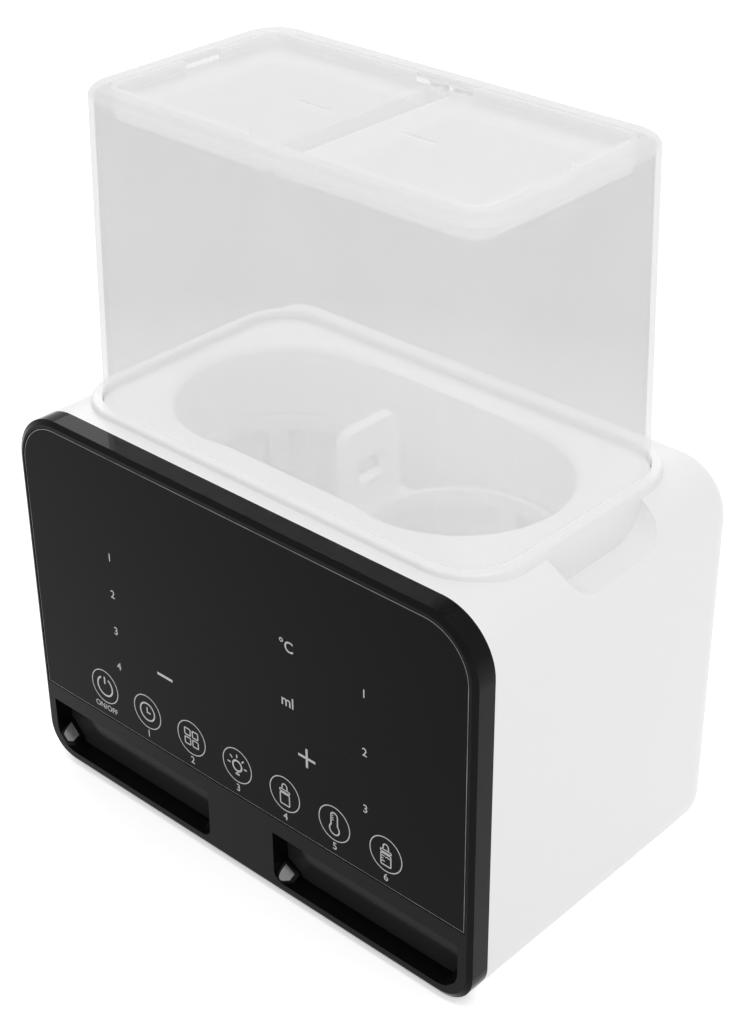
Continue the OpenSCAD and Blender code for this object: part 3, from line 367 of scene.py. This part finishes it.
# Front frame and light windows
# The frame is one glossy black moulding with a bevelled rim and two recesses at its foot.
# Smoked windows close the backs of the recesses, and the night light shines through them.
def specked_black(name, smears, specks, rough, specular):
    """Glossy black. Smears are their scale and share of the roughness; specks are the scale
    of their cells, the share of cells without one, and the levels of black and dust."""
    made, wire = bare_finish(name)
    place = wire.node("TexCoord", out="Object")
    smear_scale, smear_share = smears
    cell_scale, bare_share, black, dust = specks
    speck_reach, speck_cover = 0.020, 0.8
    smudge = wire.node("TexNoise", None, {"Vector": place, "Scale": smear_scale, "Detail": 4.0})
    cells = {"Vector": place, "Scale": cell_scale, "Randomness": 1.0}
    speck_far = wire.node("TexVoronoi", None, cells, out="Distance")
    speck_pick = wire.node("TexVoronoi", None, cells, out="Color")
    picked = wire.node("SeparateColor", None, {0: speck_pick})
    speck = (speck_far < speck_reach) * (picked > bare_share) * speck_cover
    close_finish(
        wire,
        {
            "Base Color": speck.shade(grey(black), grey(dust)),
            "Roughness": smudge * smear_share + rough,
            "Specular IOR Level": specular,
        },
    )
    return made


gloss_black = specked_black(
    "gloss_black",
    smears=(38.0, 0.06),
    specks=(150.0, 0.90, 0.004, 0.20),
    rough=0.05,
    specular=0.080,
)
dress(gloss_black, "front_bezel")

smoked, wire = bare_finish("smoked_window")
place = wire.node("TexCoord", out="Object")
haze = wire.node("TexNoise", None, {"Vector": place, "Scale": 60.0, "Detail": 3.0})
close_finish(
    wire,
    {
        "Base Color": haze.shade(grey(0.019), grey(0.022)),
        "Roughness": haze * 0.06 + 0.12,
        "Specular IOR Level": 0.09,
    },
)
dress(smoked, "light_window_left", "light_window_right")

# The gussets at the left ends of the recesses have a smooth slanted face. The middle of each
# gets a thin light grey plate over the black, a painted highlight of the light that face catches.
highlight_lift = 0.00004
highlight_share = 0.65
highlight_mesh = bpy.data.meshes.new("gusset_painted_highlights")
shape = bmesh.new()
bezel = nodes["front_bezel"].data
bezel_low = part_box("front_bezel")[0]
gusset_top = bezel_low.z + 0.016
gusset_back = bezel_low.y + 0.0068
gussets = {}
for face in bezel.polygons:
    n = face.normal
    # a gusset's slanted face looks up, forwards and to the right
    slanted = 0.2 < n.z < 0.9 and n.y < -0.2 and n.x > 0.35
    if slanted and face.center.z < gusset_top and face.center.y < gusset_back:
        gussets.setdefault(round(n.x, 1), []).append(face)
for faces in gussets.values():
    n = faces[0].normal
    corners = {i: bezel.vertices[i].co for face in faces for i in face.vertices}
    middle = sum(corners.values(), Vector()) / len(corners)
    placed = {
        i: shape.verts.new(middle + (corner - middle) * highlight_share + n * highlight_lift)
        for i, corner in corners.items()
    }
    for face in faces:
        shape.faces.new([placed[i] for i in face.vertices])
same_place = 1e-6
bmesh.ops.remove_doubles(shape, verts=shape.verts, dist=same_place)
shape.to_mesh(highlight_mesh)
shape.free()
highlight_plates = bpy.data.objects.new("gusset_painted_highlights", highlight_mesh)
scene.collection.objects.link(highlight_plates)
# light grey over the black gloss: a painted highlight, not a colour of the moulding
gusset_painted_highlight, wire = bare_finish("gusset_painted_highlight")
place = wire.node("TexCoord", out="Object")
streak = wire.node("TexNoise", None, {"Vector": place, "Scale": 700.0, "Detail": 2.0})
close_finish(
    wire,
    {
        "Base Color": streak.shade(grey(0.10), grey(0.20)),
        "Roughness": streak * 0.1 + 0.2,
    },
)
highlight_mesh.materials.append(gusset_painted_highlight)
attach(highlight_plates, "base")

# Touch panel and its film
# A black panel lies in the frame's shallow pocket. A glossy film with the symbols printed
# on it covers the panel, and its cut edge is painted light grey in broken patches, a painted
# highlight.
film_black = specked_black(
    "film_black",
    smears=(30.0, 0.05),
    specks=(170.0, 0.93, 0.0028, 0.18),
    rough=0.12,
    specular=0.050,
)
dress(film_black, "touch_panel")

film_gap = 0.0001
film_t = 0.00009
film_edge_w = 0.0002
panel_low, panel_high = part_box("touch_panel")
rim = [v.co for v in nodes["touch_panel"].data.vertices if v.co.y < panel_low.y + same_place]
centre = (panel_low + panel_high) / 2
rim.sort(key=lambda p: math.atan2(p.z - centre.z, p.x - centre.x))
outline = []
point_spacing = 1e-5
for p in rim:
    if not outline or (Vector((p.x, p.z)) - outline[-1]).length > point_spacing:
        outline.append(Vector((p.x, p.z)))
if (outline[0] - outline[-1]).length < point_spacing:
    outline.pop()


def inset(points, distance):
    """The same closed outline, moved inwards."""
    moved = []
    for i, p in enumerate(points):
        before = (p - points[i - 1]).normalized()
        after = (points[(i + 1) % len(points)] - p).normalized()
        normal = Vector((-before.y - after.y, before.x + after.x)).normalized()
        lean = max(0.3, normal.dot(Vector((-after.y, after.x))))
        moved.append(p + normal * distance / lean)
    return moved


film_front = panel_low.y - film_t
levels = (
    (inset(outline, film_gap), panel_low.y),
    (inset(outline, film_gap), film_front + film_t / 3),
    (inset(outline, film_gap + film_edge_w), film_front),
)
film_mesh = bpy.data.meshes.new("panel_film")
shape = bmesh.new()
loops = [[shape.verts.new((p.x, y, p.y)) for p in ring] for ring, y in levels]
count = len(outline)
for lower, upper in zip(loops, loops[1:]):
    for i in range(count):
        j = (i + 1) % count
        face = shape.faces.new((lower[i], lower[j], upper[j], upper[i]))
        face.material_index = 1
shape.faces.new(loops[-1])
shape.faces.new(list(reversed(loops[0])))
bmesh.ops.recalc_face_normals(shape, faces=shape.faces)
shape.to_mesh(film_mesh)
shape.free()
film = bpy.data.objects.new("panel_film", film_mesh)
scene.collection.objects.link(film)
# the cut edge's light grey, broken up by noise, is a painted highlight
film_edge_highlight, wire = bare_finish("film_edge_highlight")
place = wire.node("TexCoord", out="Object")
highlight_breaks = wire.node("TexNoise", None, {"Vector": place, "Scale": 120.0, "Detail": 5.0})
close_finish(
    wire,
    {
        "Base Color": highlight_breaks.shade(grey(0.0), grey(0.42)),
        "Roughness": 0.25,
    },
)
film_mesh.materials.append(film_black)
film_mesh.materials.append(film_edge_highlight)
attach(film, "base")

# Printed symbols
# Seven keys with line symbols in circles, a minus and a plus, two units and small plain
# numbers, screen printed in light grey on the film.
mm = 0.001
print_t = 0.00002
print_face = film_front - print_t
print_back = film_front + 0.00001
key_z = 45.6
key_pitch = 21.8
key_r = 6.6
line_w = 0.38
marks = bmesh.new()


def stroke(points, width, closed=False):
    """A printed line: a thin strip along points, which are millimetres across the front."""
    points = [Vector(p) for p in points]
    last = len(points)
    sides = []
    for i, p in enumerate(points):
        steps = []
        if closed or i:
            steps.append((p - points[i - 1]).normalized())
        if closed or i + 1 < last:
            steps.append((points[(i + 1) % last] - p).normalized())
        along = sum(steps, Vector((0, 0))).normalized()
        normal = Vector((-along.y, along.x))
        lean = max(0.45, normal.dot(Vector((-steps[0].y, steps[0].x))))
        reach = normal * width / 2 / lean
        sides.append((p + reach, p - reach))
    rows = [
        [marks.verts.new((q.x * mm, y, q.y * mm)) for q in pair for y in (print_face, print_back)]
        for pair in sides
    ]
    for i in range(last if closed else last - 1):
        a, b = rows[i], rows[(i + 1) % last]
        for m, n in ((0, 2), (3, 1), (1, 0), (2, 3)):
            marks.faces.new((a[m], a[n], b[n], b[m]))
    if not closed:
        for row in (rows[0], rows[-1]):
            marks.faces.new((row[0], row[1], row[3], row[2]))


def arc(x, z, r, start=0.0, end=360.0, steps=40):
    """Points on an arc; angles in degrees, from the right and upwards."""
    whole = abs(end - start) >= 360
    n = steps if whole else steps + 1
    return [
        (x + r * math.cos(math.radians(start + (end - start) * i / steps)),
         z + r * math.sin(math.radians(start + (end - start) * i / steps)))
        for i in range(n)
    ]


def box_line(x, z, w, h, r, width):
    """A rounded rectangle drawn as a line."""
    points = []
    for sx, sz, start in ((1, 1, 0), (-1, 1, 90), (-1, -1, 180), (1, -1, 270)):
        points += arc(x + sx * (w / 2 - r), z + sz * (h / 2 - r), r, start, start + 90, 4)
    stroke(points, width, True)


for i in range(-3, 4):
    stroke(arc(i * key_pitch, key_z, key_r, steps=72), line_w, True)

# power
x = -3 * key_pitch
stroke(arc(x, key_z, 3.75, 118, 422, 44), 0.7)
stroke([(x, key_z + 4.1), (x, key_z + 1.1)], 0.7)
# clock
x = -2 * key_pitch
stroke(arc(x, key_z, 3.5), 0.62, True)
stroke([(x - 0.1, key_z + 1.9), (x - 0.1, key_z - 0.2), (x + 1.6, key_z - 0.2)], 0.55)
# programmes
x = -key_pitch
for sx in (-1, 1):
    for sz in (-1, 1):
        box_line(x + sx * 1.85, key_z + sz * 1.85, 2.65, 2.65, 0.35, 0.5)
# lamp
stroke(arc(0, key_z - 0.1, 2.05), 0.7, True)
stroke([(-0.9, key_z - 3.5), (0.9, key_z - 3.5)], 0.75)
stroke([(0, key_z - 2.3), (0, key_z - 3.3)], 0.6)
for angle in (0, 45, 90, 135, 180):
    c, s = math.cos(math.radians(angle)), math.sin(math.radians(angle))
    stroke([(3.1 * c, key_z + 3.1 * s), (4.5 * c, key_z + 4.5 * s)], 0.55)


def bottle(x, body_low):
    """A feeding bottle: body, collar and teat."""
    box_line(x, key_z + (body_low + 0.15) / 2, 4.1, 0.15 - body_low, 0.4, 0.5)
    box_line(x, key_z + 1.15, 4.4, 0.95, 0.42, 0.45)
    teat = arc(x, key_z + 2.9, 1.1, -20, 200, 16)
    stroke([(x + 1.3, key_z + 1.7)] + teat + [(x - 1.3, key_z + 1.7)], 0.5)


# bottle
bottle(key_pitch, -4.3)
# thermometer
x = 2 * key_pitch
stem = arc(x, key_z + 2.9, 1.4, 0, 180, 14)
bulb = arc(x, key_z - 2.3, 2.1, 131, 409, 30)
stroke(stem + bulb, 0.55, True)
for z in (1.3, 2.2, 3.1):
    stroke([(x - 1.4, key_z + z), (x - 0.3, key_z + z)], 0.4)
# bottle with a scale
x = 3 * key_pitch
bottle(x, -4.4)
for z, reach in ((-0.9, 1.6), (-1.9, 1.0), (-2.9, 1.6)):
    stroke([(x - 2.0, key_z + z), (x - 2.0 + reach, key_z + z)], 0.4)
wave = ((-0.2, -1.2), (0.6, -0.8), (1.2, -1.2), (2.0, -0.8))
stroke([(x + over, key_z + up) for over, up in wave], 0.4)

# minus and plus
sign_reach = 3.7
minus_x, minus_z, minus_w = -33.1, 65.1, 1.05
plus_x, plus_z, plus_w = 32.3, 65.4, 0.95
stroke([(minus_x - sign_reach, minus_z), (minus_x + sign_reach, minus_z)], minus_w)
stroke([(plus_x - sign_reach, plus_z), (plus_x + sign_reach, plus_z)], plus_w)
for way in (1, -1):
    stroke([(plus_x, plus_z + way * sign_reach), (plus_x, plus_z + way * plus_w / 2)], plus_w)

# lettering: text, middle across, foot, height of a capital
lettering = [
    ("°C", 24.9, 102.6, 4.2),
    ("ml", 24.6, 81.6, 4.0),
    ("ON/OFF", -3 * key_pitch, 35.8, 2.2),
]
key_number_foot, key_number_tall = 35.2, 2.8
lettering += [
    (str(i + 1), (i - 2) * key_pitch, key_number_foot, key_number_tall) for i in range(6)
]
side_number_tall = 3.0
for x, heights in ((-56.7, (101.9, 87.4, 72.7, 58.3)), (57.0, (102.4, 80.7, 59.0))):
    for i, z in enumerate(heights):
        lettering.append((str(i + 1), x, z - side_number_tall / 2, side_number_tall))
for text, x, z, tall in lettering:
    curve = bpy.data.curves.new("lettering", "FONT")
    curve.body = text
    curve.extrude = 0.02
    curve.offset = 0.008
    holder = bpy.data.objects.new("lettering", curve)
    scene.collection.objects.link(holder)
    bpy.context.view_layer.update()
    graph = bpy.context.evaluated_depsgraph_get()
    flat = bpy.data.meshes.new_from_object(holder.evaluated_get(graph))
    xs = [v.co.x for v in flat.vertices]
    ys = [v.co.y for v in flat.vertices]
    size = tall / max(ys)
    middle = (min(xs) + max(xs)) / 2
    for v in flat.vertices:
        front = v.co.z > 0
        v.co = (
            (x + (v.co.x - middle) * size) * mm,
            print_face if front else print_back,
            (z + v.co.y * size) * mm,
        )
    marks.from_mesh(flat)
    bpy.data.objects.remove(holder)
    bpy.data.curves.remove(curve)
    bpy.data.meshes.remove(flat)

bmesh.ops.remove_doubles(marks, verts=marks.verts, dist=1e-8)
bmesh.ops.recalc_face_normals(marks, faces=marks.faces)
symbols_mesh = bpy.data.meshes.new("printed_symbols")
marks.to_mesh(symbols_mesh)
marks.free()
symbols = bpy.data.objects.new("printed_symbols", symbols_mesh)
scene.collection.objects.link(symbols)
ink, wire = bare_finish("screen_ink")
place = wire.node("TexCoord", out="Object")
worn = wire.node("TexNoise", None, {"Vector": place, "Scale": 900.0, "Detail": 3.0})
close_finish(
    wire,
    {
        "Base Color": worn.shade(grey(0.36), grey(0.62)),
        "Roughness": 0.5,
    },
)
symbols_mesh.materials.append(ink)
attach(symbols, "base")

# Bottle rack
# The lift-out rack is moulded in natural white polypropylene: two rings for the bottles, a
# low frame and a handle between them. The well that it stands in is of the same plastic.
rack_white, wire = bare_finish("rack_polypropylene")
place = wire.node("TexCoord", out="Object")
flow = wire.node("TexNoise", None, {"Vector": place, "Scale": 30.0, "Detail": 3.0})
close_finish(
    wire,
    {
        "Base Color": flow.shade(grey(0.97), grey(0.98)),
        "Roughness": flow * 0.10 + 0.34,
    },
)
dress(rack_white, "well_tank", "bottle_rack", "rack_handle")

# Frosted cover and flaps
# The tall cover and its two flaps are moulded in cloudy polypropylene, a little under two
# millimetres thick, which hides most of what is inside but lets the light through.
rim_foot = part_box("tall_cover")[1].z - 0.0035
rim_blend = 0.0015


def frosted(name, low, high, clear, rim_clear, forward, scale):
    """Cloudy plastic. Of the light that meets a face, the clear share goes straight on. The
    forward share of the rest comes out behind it in all directions, and what is left is sent
    back. The cover's rim is thicker and has a clear share of its own."""
    made, wire = bare_finish(name)
    place = wire.node("TexCoord", out="Object")
    flow = wire.node("TexNoise", None, {"Vector": place, "Scale": scale, "Detail": 3.0})
    grain = wire.node("TexNoise", None, {"Vector": place, "Scale": 1500.0, "Detail": 1.0})
    relief = wire.node("Bump", None, {"Strength": 0.10, "Distance": 0.00006, "Height": grain})
    skin = wire.node(
        "BsdfPrincipled",
        None,
        {
            "Base Color": flow.shade(grey(low), grey(high)),
            "Roughness": flow * 0.08 + 0.28,
            "Normal": relief,
        },
    )
    glow = wire.node("BsdfTranslucent", None, {"Color": grey(high)})
    body = wire.node("MixShader", None, {0: forward, 1: skin, 2: glow})
    through = wire.node("BsdfTransparent", None, {"Color": grey(1.0)})
    height = wire.node("SeparateXYZ", None, {0: place}, out=2)
    rim = height.ramp(rim_foot, rim_foot + rim_blend)
    share = rim * (rim_clear - clear) + (flow * 0.04 + (clear - 0.02))
    cloud = wire.node("MixShader", None, {0: share, 1: body, 2: through})
    wire.node("OutputMaterial", None, {"Surface": cloud})
    return made


cloudy = frosted(
    "frosted_polypropylene",
    low=0.94,
    high=0.96,
    clear=0.64,
    rim_clear=0.40,
    forward=0.82,
    scale=16.0,
)
dress(cloudy, "tall_cover")
cloudy_flap = frosted(
    "frosted_flap", low=0.93, high=0.95, clear=0.34, rim_clear=0.34, forward=0.68, scale=20.0
)
dress(cloudy_flap, "flap_left", "flap_right")
